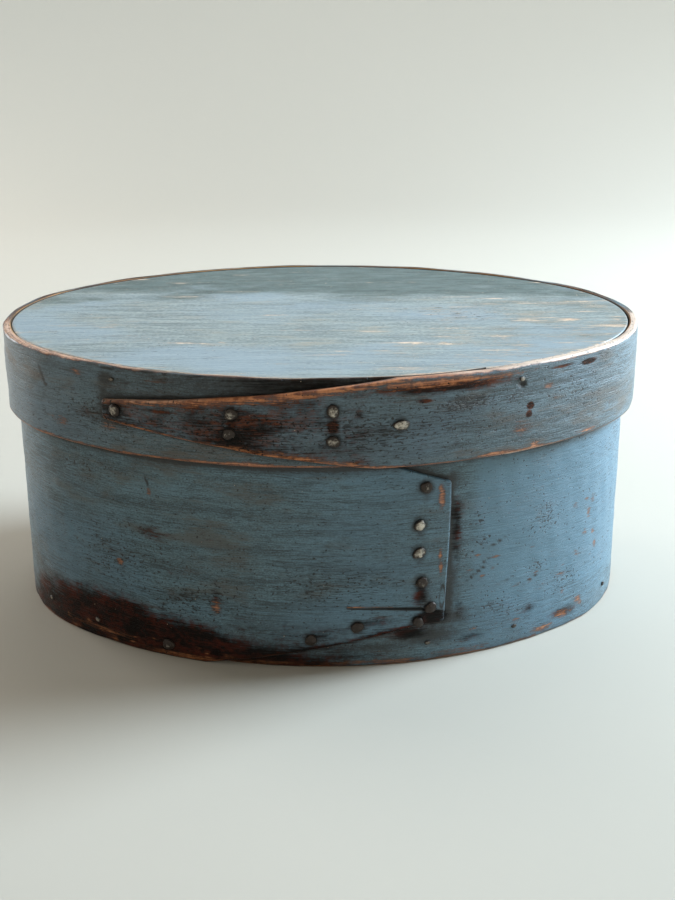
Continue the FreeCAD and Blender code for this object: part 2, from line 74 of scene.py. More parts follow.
class Strip:
    """A bentwood strip: once round an oval and over its own feathered inner end.

    A place is the X of the front arc, positive towards the lap's end. Shares are of that
    arc's half length, and the two corners among them are heights."""

    def __init__(self, oval, thickness, low, high, shares, end_thickness, corner, seam=0.2):
        self.oval, self.thickness, self.low, self.high = oval, thickness, low, high
        self.outer_radius = oval.side_radius + thickness
        self.reach = self.outer_radius * math.sin(oval.joint)
        rise, tip, end, root = [math.asin(shares[key] * self.reach / self.outer_radius)
                                for key in ("rise", "tip", "end", "root")]
        self.feather, self.step = 0.8, 3.0
        self.tip, self.root, self.rise, self.end = tip, root, TURN + rise, TURN + end
        at_end = self.feather + (thickness - self.feather) * (end - tip) / (root - tip)
        self.end_face = at_end + seam
        self.top = self.end_face + end_thickness
        self.seam = seam
        self.corner = corner
        self.end_place = (oval.side_radius + self.top) * math.sin(end)
        inside = self.end_place - corner
        self.top_edge = [(shares["top_root"] * self.reach, high), (inside, shares["top_corner"])]
        self.foot_edge = [(shares["foot_root"] * self.reach, low), (inside, shares["foot_corner"])]
        if "foot_flat" in shares:
            self.foot_edge.insert(1, (shares["foot_flat"] * self.reach, shares["foot_corner"]))

    def inner(self, turn):
        before = TURN + self.tip - self.seam / self.oval.side_radius
        step = before - self.step / self.oval.side_radius
        return np.interp(turn, (self.tip, step, before, self.end),
                         (0, 0, self.feather + self.seam, self.end_face))

    def outer(self, turn):
        return np.interp(turn, (self.tip, self.root, self.rise, self.end),
                         (self.feather, self.thickness, self.thickness, self.top))

    def place(self, turn):
        """Goes on growing round the ends and the back, so that a mark stays where it is put."""
        turn = np.mod(turn + math.pi, TURN) - math.pi
        side = np.clip(turn, -self.oval.joint, self.oval.joint)
        past = np.abs(turn) - self.oval.joint
        return self.outer_radius * np.sin(side) + np.sign(turn) * np.maximum(past, 0) * (
            self.oval.end_radius + self.thickness)

    def edges(self, turn):
        """Heights of the strip's two edges at each turn, with the lap's cut end."""
        place = self.place(turn)
        lap = turn > TURN - self.oval.joint
        low = np.where(lap, np.interp(place, *zip(*self.foot_edge)), self.low)
        high = np.where(lap, np.interp(place, *zip(*self.top_edge)), self.high)
        past = np.clip((place - (self.end_place - self.corner)) / self.corner, 0, 1)
        drop = np.where(lap, self.corner * (1 - np.sqrt(1 - past**2)), 0)
        return low + drop, high - drop

    def skin(self, place, height):
        """Turn and offset of the visible face at a place on the front."""
        turn = math.asin(place / self.outer_radius)
        low, high = self.edges(np.array([TURN + turn]))
        over = turn + TURN <= self.end and low[0] <= height <= high[0]
        return turn, float(self.outer(TURN + turn if over else turn))


box_oval = Oval(half_length=143.5, half_width=106.0, end_radius=84.0, hand=1)
box_strip = Strip(box_oval, thickness=4.0, low=0.0, high=123.2, end_thickness=2.2, corner=3.0,
                  shares=dict(rise=-0.959, tip=-0.685, foot_root=-0.454, top_root=-0.385, foot_flat=0.353,
                              end=0.473, root=0.857, foot_corner=19.0, top_corner=86.6))
lid_oval = Oval(half_length=148.3, half_width=110.45 + box_strip.top - box_strip.thickness,
                end_radius=88.8, hand=-1)
lid_strip = Strip(lid_oval, thickness=4.2, low=96.0, high=135.0, end_thickness=3.2, corner=1.2,
                  shares=dict(rise=-0.882, tip=-0.572, top_root=-0.253, foot_root=-0.18, end=0.757,
                              root=0.972, foot_corner=96 + 15.8, top_corner=96 + 24.6))


# Wear, as masks over a strip's places and heights.

def waves(x, y, seed, length, count=9):
    """Smooth uneven ground, mostly between -1 and 1, from a seeded sum of sines."""
    draw = np.random.default_rng(seed)
    total = np.zeros(np.broadcast(x, y).shape)
    for _ in range(count):
        angle = draw.uniform(0, TURN)
        k = TURN / (length * draw.uniform(0.6, 1.7))
        total += np.sin(k * (x * math.cos(angle) + y * math.sin(angle)) + draw.uniform(0, TURN))
    return total / math.sqrt(count)


def wander(x, y, seed, length):
    """The same ground, between 0 and 1."""
    return np.clip(0.5 + 0.5 * waves(x, y, seed, length), 0, 1)


def spots(across, up, items):
    """Highest of many soft spots (x, z, half-width, half-height, strength, tilt in degrees)."""
    mask = np.zeros(np.broadcast(across, up).shape)
    reach = 1.6
    for x, z, wide, tall, strength, *tilt in items:
        c, s = math.cos(math.radians(sum(tilt))), math.sin(math.radians(sum(tilt)))
        along, over = (across - x) * c + (up - z) * s, (up - z) * c - (across - x) * s
        away = np.hypot(along / wide, over / tall)
        mask = np.maximum(mask, strength * np.clip(reach - away, 0, reach))
    return mask


def near(distance, width, top=1.0):
    """A little over top at an edge, and nothing past the width."""
    return np.clip(1.2 * top * (1 - distance / np.maximum(width, 0.2)), 0, 1.2 * top)


def ring(across, up, x, z, wide, tall, line):
    return np.clip(1.3 - np.abs(np.hypot((across - x) / wide, (up - z) / tall) - 1) / line, 0, 1)


LAP_TACKS = [(43.8, 84.2), (41.2, 67.0), (41.2, 54.2), (42.7, 40.0), (46.6, 27.5), (41.2, 21.1),
             (14.6, 20.7), (-5.6, 14.9)]
BASE_TACK = (-69.5, 6.0)
FINGER_TACKS = [(86.4, 116.7), (37.0, 120.2), (38.1, 111.6), (-4.4, 122.1), (-4.4, 109.1),
                (-32.4, 115.1)]
SPLIT = dict(places=(9.5, 26.8, 42.3, 54.8), heights=(29.8, 28.9, 27.3, 24.2),
             wide_at=(9.5, 20, 27, 35, 42, 46, 55), wide=(0.04, 0.2, 0.4, 0.62, 0.8, 0.5, 0.3))
# Length of strip from the feathered tip on that is the inner layer, as far as the front shows it.
BOX_INNER_RUN, LID_INNER_RUN = 260, 300


def lap_rim(strip, place, height, lap):
    """Distances in from the strip's lower edge, its upper edge and its end."""
    low = np.where(lap, np.interp(place, *zip(*strip.foot_edge)), strip.low)
    high = np.where(lap, np.interp(place, *zip(*strip.top_edge)), strip.high)
    end = np.where(lap & (place > 0), strip.end_place - place, 99.0)
    return np.maximum(height - low, 0), np.maximum(high - height, 0), np.maximum(end, 0)


def lap_away(strip, place, height):
    """Distance out from the outer layer's outline on the front."""
    low = np.interp(place, *zip(*strip.foot_edge))
    high = np.interp(place, *zip(*strip.top_edge))
    past = place - strip.end_place
    upright = np.maximum(low - height, height - high)
    return np.where(past > 0, np.hypot(past, np.maximum(upright, 0)), np.maximum(upright, 0))


def scattered(seed, count, places, heights, wide, tall, strength):
    draw = np.random.default_rng(seed)
    return [(draw.uniform(*places), draw.uniform(*heights), draw.uniform(*wide), draw.uniform(*tall),
             draw.uniform(*strength)) for _ in range(count)]


def far_side(seed, count, near_end, far_end, *rest):
    """Scattered spots on both halves of the back, which has its own, quieter wear."""
    return (scattered(seed, count, (near_end, far_end), *rest)
            + scattered(seed + 1, count, (-far_end, -near_end), *rest))


def round_spots(centres, size, strength):
    return [(place, height, size, size, strength) for place, height in centres]


# Marks seen in the photo, as spots at places along the strip and heights. The lid's are at X.

EMPTY_HOLE = (84.7, 126.6)
BOX_BARE = [
    (50.8, 79, 1.6, 5, 0.62), (50.2, 83.5, 1.2, 2, 0.5), (51, 52.5, 1.2, 3.2, 0.5),
    (51.6, 46, 1.1, 3.4, 0.55), (-47, 27.5, 2.4, 4.6, 0.42), (-91.2, 41.7, 1.8, 2, 0.52),
    (-75.4, 78.2, 1.3, 1.8, 0.5), (127, 53.2, 2, 3.4, 0.42), (124, 44.5, 3.2, 1.6, 0.4),
    (131.6, 43.1, 2.4, 2.6, 0.4), (112, 7, 4.5, 2.4, 0.5), (102, 3.2, 6, 1.8, 0.5),
    (122, 10.5, 3, 2.2, 0.45), (97, 33, 2.6, 1.2, 0.4, 25), (110, 28, 3.5, 1.4, 0.36),
    (60, 3, 16, 1.2, 0.4), (20, 2, 26, 1.2, 0.42), (130, 60, 2, 2, 0.36), (134, 36, 2, 3, 0.4),
    (118, 36, 2.6, 1, 0.36), (88, 12, 2.4, 1.2, 0.42), (66, 12, 2, 1, 0.4), (-100, 5, 24, 1.6, 0.4),
    (-60, 1.6, 30, 1.2, 0.55), (-20, 1.4, 24, 1, 0.5)]
BOX_BROWN = [
    (47, 22, 8, 4, 0.8), (42, 34, 4.5, 6, 0.46), (60.5, 26, 3.6, 8, 0.36), (40, 15, 14, 4, 0.5),
    (20, 22, 20, 5, 0.3), (-4, 17, 16, 4, 0.34), (-75, 59, 9, 6, 0.32), (-86, 66, 6, 5, 0.28),
    (-66, 40, 24, 10, 0.24), (112, 8, 9, 3.6, 0.42), (66, 9, 12, 3, 0.36), (76, 14, 6, 2.6, 0.34),
    (94, 16, 5, 3, 0.34), (58.5, 62, 3.6, 24, 0.42), (-47, 32, 3.6, 7, 0.3), (0, 5, 34, 2.6, 0.4)]
# Dark spots: grime round the base tack, by the split and beside the lap's end; below the lap's foot near its
# end, grime with painted shadow.
BOX_DARK = [
    (*BASE_TACK, 3.6, 3.6, 0.5), (44, 32, 4, 5, 0.55), (48, 21, 7, 4.4, 0.62), (46, 13, 16, 5, 0.75),
    (24, 9, 26, 3, 0.5), (60, 20, 6, 6, 0.5)]
BOX_FLECKS = [
    (68.7, 64.8, 4, 4, 0.9), (70.9, 54.9, 4, 3, 0.9), (64.6, 51.3, 4, 3, 0.7), (100, 58, 8, 7, 0.6),
    (97, 36, 5, 4, 0.8), (112, 24, 7, 5, 0.7), (-85, 45, 22, 18, 0.5), (-60, 30, 26, 10, 0.6),
    (0, 40, 26, 10, 0.45), (78, 20, 12, 8, 0.5), (-110, 84, 18, 6, 0.5)]
BOX_SCRATCHES = [
    (69.5, 40.7, 4, 0.5, 0.9, 28), (66, 38, 3, 0.4, 0.8, 28), (78, 53, 4.6, 0.5, 0.8, 24),
    (72, 44.5, 3, 0.4, 0.7, 30), (-76.2, 83, 0.6, 2.6, 0.9, 20), (96, 31, 5, 0.5, 0.7, 22),
    (84, 33.5, 3, 0.5, 0.6, 20)]
LID_BARE = [
    (97.3, 123.8, 3.4, 1.8, 0.5), (-106, 129.6, 3.6, 1.8, 0.4), (84.5, 106.2, 5, 3.4, 0.36),
    (91.5, 98, 2.2, 1.6, 0.5), (73, 97.4, 9, 1, 0.6), (46, 132, 28, 2.2, 0.6), (70, 132, 20, 1.4, 0.5),
    (-91, 108, 6, 4, 0.3), (-115, 105, 4, 4, 0.28), (118, 98.4, 8, 1, 0.4), (-70, 130.5, 8, 0.8, 0.3),
    (134, 107, 2, 2, 0.3)]
LID_BROWN = [
    (88.9, 116.4, 1.7, 1.6, 1), (88.3, 112.8, 1.4, 1.5, 0.9), (4.4, 115.6, 3.6, 4.6, 0.6),
    (15, 120.5, 4, 4, 0.42), (-37, 116.2, 3, 3, 0.6), (-36, 120, 8, 3, 0.4), (-66, 118.6, 16, 2.2, 0.5),
    (42, 124.7, 3.6, 1, 0.6), (117, 130.2, 3.6, 1.2, 0.9), (104, 131, 8, 0.9, 0.6), (42, 106, 9, 4, 0.3),
    (-84, 112, 5, 3, 0.36), (52, 130, 36, 3, 0.56), (-102, 112, 12, 7, 0.24), (10, 103, 40, 3, 0.3)]
LID_DARK = [
    (-91.8, 129.1, 4.2, 3.2, 0.8), (-93.5, 121.5, 3.2, 6.4, 0.55), (-91, 133.6, 3.6, 0.6, 1),
    (-73.5, 134.2, 4, 0.6, 0.9), (*EMPTY_HOLE, 1.7, 1.5, 1.3), (57, 124.4, 4.4, 0.8, 0.6),
    (65, 123.8, 3.4, 0.8, 0.6), (-1, 105, 50, 3, 0.3), (24, 114, 26, 9, 0.3),
    (-125.2, 127.2, 0.7, 1.3, 1.1, 10), (-124, 124.8, 0.7, 1.3, 1.1, 30),
    (-122.8, 122.3, 0.8, 1.2, 1.1, 10), (-121.8, 120.4, 0.9, 0.8, 1.1), (-40, 108, 30, 4, 0.3)]
LID_FLECKS = [
    (60.0, 121.0, 16.0, 3.6, 0.9), (80.0, 121.0, 10.0, 3.0, 0.7), (-95, 112, 18, 8, 0.6),
    (112, 118, 10, 7, 0.6), (30, 112, 40, 9, 0.6), (-40, 112, 40, 8, 0.7)]


def highest(*layers):
    """The greatest of several masks at each point."""
    return np.maximum.reduce(np.broadcast_arrays(*layers))


def split_mark(place, lap, face):
    """Height and half width of the split at each place, and where it shows."""
    line = np.interp(place, SPLIT["places"], SPLIT["heights"])
    half = np.interp(place, SPLIT["wide_at"], SPLIT["wide"])
    return line, half, lap & face & (place > SPLIT["places"][0])


def foot_grime(place, height):
    """Old grime low on the front, to the left of the lap's end."""
    return np.interp(height, (0, 20, 42), (1, 0.7, 0)) * np.interp(place, (-64, -40, 10, 34), (0, 1, 1, 0))


def box_bare(strip, run, place, height, lap, face):
    low, high, _ = lap_rim(strip, place, height, lap)
    line, _, split = split_mark(place, lap, face)
    lip = near(np.abs(height - line - 0.7), 1.0, 0.6)
    foot = scattered(65, 26, (-122, -40), (0.5, 7), (1, 4), (0.5, 1.4), (0.3, 0.5))
    right = scattered(66, 26, (56, 136), (2, 62), (0.8, 2.6), (0.6, 1.6), (0.2, 0.42))
    back = far_side(61, 14, 165, 380, (8, 90), (1, 4), (0.8, 2.4), (0.3, 0.5))
    bare = highest(near(low, 1.5 + 0.8 * waves(run, 0, 31, 40), np.where(lap, 0.45, 0.8)),
                   np.where(lap, 0, near(high, 2.5, 0.9)),
                   spots(place, height, BOX_BARE + foot + right + back),
                   np.where(split & (place < 31), lip, 0))
    return np.where(face, bare, 0.3)


def box_brown(strip, run, place, height, lap):
    """The burn along the foot at the left, and the stains."""
    burn_top = np.interp(place, (-250, -165, -124, -92, -64, -37, -10, 16),
                         (0, 18, 25, 26, 20, 15, 10, 2)) + 1.4 * waves(run, height * 0.6, 51, 44)
    burn = np.clip((burn_top - height) / 24 + 0.45, 0, 1.25) * np.interp(
        place, (-230, -180, -140, -112, 0, 18), (0, 0.5, 0.62, 1, 1, 0))
    foot = np.where(lap, near(lap_rim(strip, place, height, lap)[0], 4.4, 0.8), 0)
    return highest(burn, spots(place, height, BOX_BROWN), 0.46 * foot_grime(place, height),
                   foot * np.interp(place, (-60, -40, 44), (0, 1, 0.8)))


def box_dark(strip, run, place, height, lap, face):
    """Darkening on the band: grime beside the lap, with painted shade at its edges; grime round the tacks;
    dark in the split; painted shadow with grime where the lid's edge rests; grime at the foot; painted shade
    inside towards the base.
    """
    low = lap_rim(strip, place, height, lap)[0]
    # Along the lap's outline: grime, with a narrow painted shadow line right at its edge.
    seam = lap_away(strip, place, height)
    width = np.where(place > strip.end_place - 1, 4.8 + 2.2 * waves(place, height, 52, 16), 3.4)
    beside = np.maximum(near(seam, np.maximum(width, 1.8), 0.9), near(seam, 1.6, 1.3))
    line, half, split = split_mark(place, lap, face)
    crack = np.clip(1.6 - np.abs(height - line) / (half + 0.2), 0, 1.3)
    stains = [(x + 0.4, z - 3.6, 2.6, 3.4, 0.45) for x, z in LAP_TACKS[:4]]
    dark = highest(
        np.where(~lap & (run < BOX_INNER_RUN), beside, 0),
        # Along the lap's lower edge: grime, and painted shade on the edge that faces down.
        np.where(lap & face, near(low, 1.2, 0.8), 0) * (place > -50),
        spots(place, height, round_spots(LAP_TACKS, 3.4, 0.95) + stains + BOX_DARK + BOX_SCRATCHES),
        0.9 * ring(place, height, 53.2, 32.0, 1.3, 5.0, 0.3) * (lap & face),
        # Where the lid's edge rests: painted shadow of the lid's edge, with grime.
        near(np.abs(height - 96.5), 8.0, 0.72), near(np.abs(height - 95.0), 2.4, 1.3),
        0.5 * np.interp(height, (0, 12, 36), (0.8, 0.8, 0))
        * np.interp(place, (-165, -120, -60, 0, 25), (0.3, 1, 1, 0.7, 0)),
        0.3 * np.exp(-((place - 10) / 70)**2) * np.exp(-((height - 50) / 40)**2),
        np.interp(height, (0, 6), (0.5, 0.0)), 0.56 * foot_grime(place, height), np.where(split, crack, 0))
    # Inside, darker towards the base: painted shade in the corner with the base board.
    return np.where(face, dark, near(height, 16, 0.8))


def box_sink(place, height, lap, face):
    """How deep the split, the wood below it at the lap's end and the dents of the tacks lie, in mm."""
    line, half, split = split_mark(place, lap, face)
    crack = 2.2 * half * np.clip(1 - np.abs(height - line) / (half + 0.02), 0, 1)
    below = 0.5 * np.clip((place - 43.5) / 2, 0, 1)
    dents = 0.2 * spots(place, height, round_spots(LAP_TACKS, 2.3, 1))
    sink = highest(np.where(split, crack, 0), np.where(split & (height < line), below, 0), dents * face)
    return np.where(face, sink, 0)


def box_wear(strip, run, place, height, lap, face):
    """Masks of the box's band. The front of the inner layer, the lap and the rest differ."""
    # Painted window light: the paint is made bluer towards the right end, where the window's light falls.
    fresh = face * ~lap * np.interp(place, (56, 72, 150, 260), (0, 1, 1, 0.3))
    return dict(fresh=fresh * np.interp(height, (6, 30), (0.5, 1)),
                bare=box_bare(strip, run, place, height, lap, face),
                brown=box_brown(strip, run, place, height, lap),
                dark=box_dark(strip, run, place, height, lap, face),
                fleck=np.where(face & (np.abs(place) < 150), spots(place, height, BOX_FLECKS), 0.3),
                sink=box_sink(place, height, lap, face))


def lid_finger(place, lap):
    return np.interp(place, (-60, -25, 96), (0, 1, 1)) * lap


def lid_back(place):
    return np.clip((np.abs(place) - 185) / 40, 0, 1)


def lid_bare(strip, run, place, height, lap, face):
    low, high, end = lap_rim(strip, place, height, lap)
    x, finger, front = -place, lid_finger(place, lap), 1 - lid_back(place)
    right = np.interp(x, (-60, 40, 120, 200), (0, 0.5, 1, 0.4))
    top = near(high, 1.1 + 1.2 * right + 0.5 * waves(run, 0, 41, 30), 0.75 + 0.25 * right) * front
    low_width = 1.5 + 0.8 * np.maximum(waves(run, 0, 42, 26), 0) + 0.6 * (x < -20)
    cut = np.maximum(near(end, 1.3, 1.1), near(low, 1.2, 1.0) * (place > 50))
    back = far_side(63, 12, 170, 390, (98, 132), (2, 6), (0.6, 1.4), (0.3, 0.5))
    bare = highest(
        np.where(lap & (place > strip.top_edge[0][0] - 2), 0, top), near(low, low_width, 0.98),
        finger * near(high, 3.4 + 3.4 * np.exp(-((place - 24) / 40)**2), 0.76),
        finger * near(low, 2.0 + 3.4 * np.exp(-((place - 12) / 30)**2), 0.72),
        np.where(lap, cut, 0), spots(x, height, LID_BARE), spots(place, height, back))
    return np.where(face, bare, near(high, 3, 0.75) * front)


def lid_brown(strip, place, height, lap, painted_recess_shade):
    low, high, _ = lap_rim(strip, place, height, lap)
    finger = lid_finger(place, lap)
    return highest(
        # Brown in that recess above the finger is part of its painted shade.
        spots(-place, height, LID_BROWN), 0.5 * painted_recess_shade,
        finger * np.interp(place, (-60, -10, 40, 92), (0.1, 0.42, 0.56, 0.48)),
        finger * near(low, 8.0, 0.6) * np.interp(place, (-30, 10, 60), (0.3, 1, 0.8)),
        near(high, 4.0, 0.5) * np.interp(-place, (-160, -120, -30), (1, 1, 0.3)),
        0.5 * lid_back(place) * near(high, 2.0, 1.0))


def lid_dark(strip, place, height, lap, face, inner_layer, painted_recess_shade):
    # Along the finger's outline: grime and painted shade of its step; the recess above the finger is painted
    # shade too.
    seam = near(lap_away(strip, place, height), 2.4 + 2.2 * (place > 85), 0.9)
    low = near(lap_rim(strip, place, height, lap)[0], 1.4, 0.5)
    tacks = spots(place, height, round_spots(FINGER_TACKS, 3.4, 0.9))
    dark = highest(np.where(inner_layer, np.maximum(seam, low), 0), 0.95 * painted_recess_shade, tacks,
                   spots(-place, height, LID_DARK))
    # Inside, the band's face behind the board shows only through the gap: painted shade in the gap.
    painted_gap_shade = np.clip((height - 122) / 2, 0, 1.2) * np.clip((134.8 - height) / 0.4, 0, 1)
    return np.where(face, dark, painted_gap_shade)


def lid_wear(strip, run, place, height, lap, face):
    """Masks of the lid's band, whose places run against X."""
    low, high, _ = lap_rim(strip, place, height, lap)
    x = -place
    inner_layer = ~lap & (run < LID_INNER_RUN)
    # Painted shade in the recess between the finger's upper edge and the rim.
    painted_recess_shade = inner_layer * np.clip((height - 114) / 6, 0, 1) * np.interp(
        place, (-40, -25, 20, 60, 88, 104), (0, 1, 1, 0.55, 0.45, 0))
    # Lighter wood on the rims, strongest at the right: partly worn wood, partly a painted highlight of the
    # window's glint.
    pale = np.maximum(
        near(high, 2.4, 1.0) * np.interp(x, (-150, -60, -20, 30, 80, 120), (0.5, 0.5, 0, 0.1, 0.8, 1.0)),
        near(low, 1.2, 0.8) * np.interp(x, (30, 80), (0, 1)))
    sink = np.maximum(0.9 * spots(x, height, [(*EMPTY_HOLE, 1.3, 1.3, 1.0)]),
                      0.2 * spots(place, height, round_spots(FINGER_TACKS, 2.3, 1)))
    return dict(bare=lid_bare(strip, run, place, height, lap, face),
                brown=lid_brown(strip, place, height, lap, painted_recess_shade), pale=pale,
                # Painted window light: a little bluer towards the right end.
                fresh=0.15 * face * np.interp(x, (30, 80, 140, 260), (0, 1, 1, 0.2)),
                dark=lid_dark(strip, place, height, lap, face, inner_layer, painted_recess_shade),
                fleck=np.where(face, spots(x, height, LID_FLECKS), 0), sink=np.where(face, sink, 0))


# Mesh building.

def make_object(name, points, faces, masks, coords, materials, face_material=None):
    mesh = bpy.data.meshes.new(name)
    mesh.from_pydata((points * MM).tolist(), [], faces)
    for key, values in masks.items():
        layer = mesh.attributes.new(key, "FLOAT", "POINT")
        layer.data.foreach_set("value", np.ascontiguousarray(values, np.float32))
    uv = mesh.uv_layers.new(name="plan")
    corner_vertex = np.zeros(len(mesh.loops), int)
    mesh.loops.foreach_get("vertex_index", corner_vertex)
    uv.data.foreach_set("uv", (coords[corner_vertex] * MM).astype(np.float32).ravel())
    for material in materials:
        mesh.materials.append(material)
    if face_material is not None:
        mesh.polygons.foreach_set("material_index", face_material)
    mesh.polygons.foreach_set("use_smooth", [True] * len(mesh.polygons))
    piece = bpy.data.objects.new(name, mesh)
    bpy.context.scene.collection.objects.link(piece)
    return piece


def dress(piece, body, node):
    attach(piece, body)
    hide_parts(node)


def spaced(marks):
    """Turns along a strip, from (turn, spacing from there on) marks."""
    out = []
    for (start, step), (end, _) in zip(marks, marks[1:]):
        out.append(np.linspace(start, end, max(2, int(math.ceil((end - start) / step)) + 1)))
    return np.unique(np.concatenate(out))


def even_rows(place, low, high, share, lap):
    """Heights of the outer face's rows, evenly spread."""
    return low + np.outer(share, high - low)


def split_rows(place, low, high, share, lap):
    """Even rows too, but on the lap seven of them follow the split."""
    plain = even_rows(place, low, high, share, lap)
    line = np.interp(place, SPLIT["places"], SPLIT["heights"])
    half = np.interp(place, SPLIT["wide_at"], SPLIT["wide"])
    first, last, rows, lip = 8, 14, len(share), 0.6
    across = (-half - lip, -half, -half / 2, 0, half / 2, half, half + lip)
    held = plain.copy()
    for row in range(rows):
        if row < first:
            held[row] = low + (line - half - lip - low) * row / first
        elif row > last:
            held[row] = high + (line + half + lip - high) * (rows - 1 - row) / (rows - 1 - last)
        else:
            held[row] = line + across[row - first]
    weight = np.interp(place, (2, 9), (0, 1)) * lap
    return plain * (1 - weight) + held * weight


def strip_faces(kinds, columns, hand):
    """Quads round the strip and over its two ends, and 1 for each that lies on the inside."""
    count = len(kinds)
    index = np.arange(count * columns).reshape(count, columns)
    after = np.roll(index, -1, 0)
    quads = np.stack([index[:, :-1], after[:, :-1], after[:, 1:], index[:, 1:]], -1).reshape(-1, 4)
    if hand < 0:
        quads = quads[:, ::-1]
    faces = quads.tolist()
    material = np.repeat(((kinds == 0) & (np.roll(kinds, -1) == 0)).astype(int), columns - 1).tolist()
    for column, last in ((0, False), (columns - 1, True)):
        for k in range(count // 2 - 1):
            quad = [index[k, column], index[k + 1, column],
                    index[count - 2 - k, column], index[count - 1 - k, column]]
            quad = [int(v) for v in quad]
            faces.append(quad[::-1] if last == (hand > 0) else quad)
            material.append(0)
    return faces, material


def bend_strip(name, strip, look, rows, materials):
    """The whole strip as one closed skin, with rounded rims and hand-worked faces."""
    oval, side, end, seed = strip.oval, strip.oval.joint, strip.end, look["seed"]
    mm = 1 / strip.outer_radius
    turn = spaced([(strip.tip, 1.0 * mm), (side, 2.2 * mm), (TURN - side, 1.0 * mm),
                   (end - 16 * mm, 0.7 * mm), (end - 3 * mm, 0.2 * mm), (end, mm)])
    columns = len(turn)
    inner, outer = strip.inner(turn), strip.outer(turn)
    low, high = strip.edges(turn)
    place = strip.place(turn)
    radius = oval.arcs(turn)[2] + strip.thickness
    run = np.concatenate([[0], np.cumsum(np.diff(turn) * (radius[1:] + radius[:-1]) / 2)])
    lap = turn > TURN - side
    # Rims and cut edges are pared by hand, so they wander a little, only inwards.
    low = low + look["low_wander"] * wander(run, 0, seed, 60) * (low > strip.low - 1)
    high = high - look["wander"] * wander(run, 0, seed + 1, 55)
    to_end = (end - turn) / mm
    over = np.clip(1 - to_end / look["end_round"], 0, 1)
    outer = outer - 0.9 * look["end_round"] * (1 - np.sqrt(1 - over**2))
    thick = outer - inner
    rim = np.clip(1 + 0.25 * waves(run, 0, seed + 2, 25), 0.6, 1.4)
    ro = np.minimum(np.minimum(look["rim_round"] * rim, 0.5 * thick), 0.3 * (high - low))
    ri = np.minimum(np.minimum(look["inner_round"], 0.3 * thick), 0.3 * (high - low))
    quarter = np.linspace(0, math.pi / 2, 6)
    share = np.linspace(0, 1, rows)
    skin = look["rows"](place, low + ro, high - ro, share, lap)
    loop = [(inner, row, 0) for row in low + ri + np.outer(share, high - low - 2 * ri)]
    loop += [(inner + ri * (1 - math.cos(a)), high - ri + ri * math.sin(a), 0) for a in quarter[1:]]
    loop += [(outer - ro + ro * math.sin(a), high - ro + ro * math.cos(a), 1) for a in quarter[:-1]]
    loop += [(outer, row, 1) for row in skin[::-1]]
    loop += [(outer - ro + ro * math.cos(a), low + ro - ro * math.sin(a), 1) for a in quarter[1:]]
    loop += [(inner + ri * (1 - math.sin(a)), low + ri * (1 - math.cos(a)), 0) for a in quarter[:-1]]
    offset = np.array([item[0] for item in loop])
    height = np.array([item[1] for item in loop])
    kinds = np.array([item[2] for item in loop])
    runs, turns, places = (np.broadcast_to(v, offset.shape) for v in (run, turn, place))
    laps, thicks = np.broadcast_to(lap, offset.shape), np.broadcast_to(thick, offset.shape)
    face = np.broadcast_to(kinds[:, None] == 1, offset.shape)
    # Unevenness of the bent wood, only inwards from the solid's face.
    bumps = waves(runs, height * 1.6, seed + 5, 45) + 0.5 * waves(runs, height * 3, seed + 6, 13)
    depth = np.clip(0.5 + 0.4 * bumps, 0, 1.2) * look["uneven"]
    offset = offset - np.where(face, np.minimum(depth, 0.35 * thicks), 0)
    masks = look["wear"](strip, runs, places, height, laps, face)
    offset = offset - np.minimum(masks.pop("sink"), 0.7 * thicks)
    # The cut end of the lap leans a little, over its last 14 mm.
    pull = np.clip(1 - (end - turns) / mm / 14, 0, 1) * look["lean"](height) * mm
    turns = turns - np.where(laps, pull, 0)
    x, y = oval.point(turns, offset)
    points = np.stack([x, y, height], -1)
    faces, material = strip_faces(kinds, columns, oval.hand)
    flat = {key: np.ascontiguousarray(values).reshape(-1) for key, values in masks.items()}
    coords = np.stack([runs, height + offset], -1).reshape(-1, 2)
    return make_object(name, points.reshape(-1, 3), faces, flat, coords, materials, material)


# Materials.

def srgb(*levels):
    linear = [(v / 255 / 12.92) if v <= 10 else ((v / 255 + 0.055) / 1.055)**2.4 for v in levels]
    return (*linear, 1.0)


